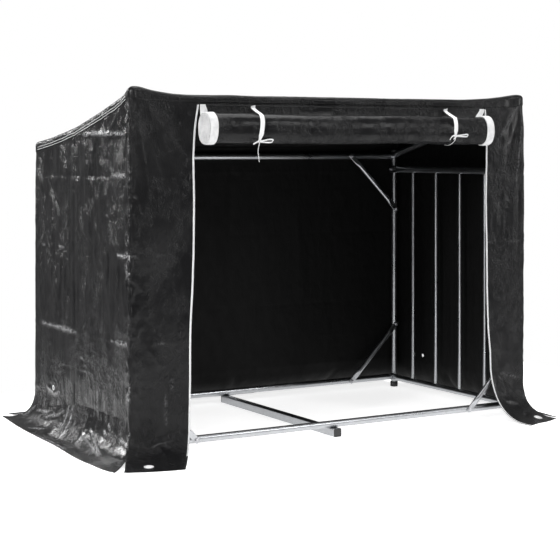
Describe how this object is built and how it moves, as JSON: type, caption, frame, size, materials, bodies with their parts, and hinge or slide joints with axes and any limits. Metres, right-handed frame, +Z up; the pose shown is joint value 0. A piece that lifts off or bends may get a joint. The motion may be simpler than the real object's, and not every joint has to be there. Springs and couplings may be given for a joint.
{
  "type": "firewood log rack",
  "caption": "Outdoor firewood rack: a bolted galvanised tube frame under a sloping tarpaulin cover with ground skirts, and a zipped front door rolled up and tied beneath the header.",
  "frame": {"origin": "on the ground, under the middle of the footprint with the spread skirts", "axes": "+Z up, +X along the width, the open front faces -Y"},
  "size_m": [1.914, 1.2495, 1.2225],
  "materials": {
    "galvanised_steel": "satin zinc galvanised",
    "black_plastic": "moulded, satin",
    "tarpaulin": "coated woven sheet, semi-gloss",
    "zip_tape": "woven tape, matt",
    "ribbon": "woven ribbon, matt",
    "eyelet_metal": "bright pressed metal"
  },
  "bodies": {
    "frame": {"brace_back_lower_left": "galvanised_steel", "brace_back_lower_right": "galvanised_steel", "brace_back_upper_left": "galvanised_steel", "brace_back_upper_right": "galvanised_steel", "brace_front_lower_left": "galvanised_steel", "brace_front_lower_right": "galvanised_steel", "brace_front_upper_left": "galvanised_steel", "brace_front_upper_right": "galvanised_steel", "foot_cap_back": "black_plastic", "foot_cap_front": "black_plastic", "middle_foot": "galvanised_steel", "post_back_left": "galvanised_steel", "post_back_right": "galvanised_steel", "post_front_left": "galvanised_steel", "post_front_right": "galvanised_steel", "post_shoe_back_left": "black_plastic", "post_shoe_back_right": "black_plastic", "post_shoe_front_left": "black_plastic", "post_shoe_front_right": "black_plastic", "rail_back_bottom": "galvanised_steel", "rail_back_top": "galvanised_steel", "rail_front_bottom": "galvanised_steel", "rail_front_top": "galvanised_steel", "roof_tube_left": "galvanised_steel", "roof_tube_right": "galvanised_steel", "side_bar_left_1": "galvanised_steel", "side_bar_left_2": "galvanised_steel", "side_bar_left_3": "galvanised_steel", "side_bar_left_4": "galvanised_steel", "side_bar_right_1": "galvanised_steel", "side_bar_right_2": "galvanised_steel", "side_bar_right_3": "galvanised_steel", "side_bar_right_4": "galvanised_steel", "side_rail_bottom_left": "galvanised_steel", "side_rail_bottom_right": "galvanised_steel", "side_rail_upper_left": "galvanised_steel", "side_rail_upper_right": "galvanised_steel"},
    "cover": {"cover_back": "tarpaulin", "cover_front_left_flap": "tarpaulin", "cover_front_right_flap": "tarpaulin", "cover_header": "tarpaulin", "cover_left_side": "tarpaulin", "cover_right_side": "tarpaulin", "cover_roof": "tarpaulin", "door_curtain": "tarpaulin", "eyelet_front_left": "eyelet_metal", "eyelet_front_right": "eyelet_metal", "eyelet_side_left": "eyelet_metal", "eyelet_side_right": "eyelet_metal", "tie_left": "ribbon", "tie_right": "ribbon", "zip_tape_left": "zip_tape", "zip_tape_right": "zip_tape"},
    "door": {"door_roll": "tarpaulin", "roll_band_left": "zip_tape", "roll_band_right": "zip_tape"}
  },
  "joints": [
    {"name": "cover_lift", "type": "slide", "parent": "frame", "child": "cover", "axis": [0, 0, 1], "range_m": [0, 1.3]},
    {"name": "door_drop", "type": "slide", "parent": "cover", "child": "door", "axis": [0, 0, -1], "range_m": [0, 1], "deforming": ["door_curtain"]}
  ]
}
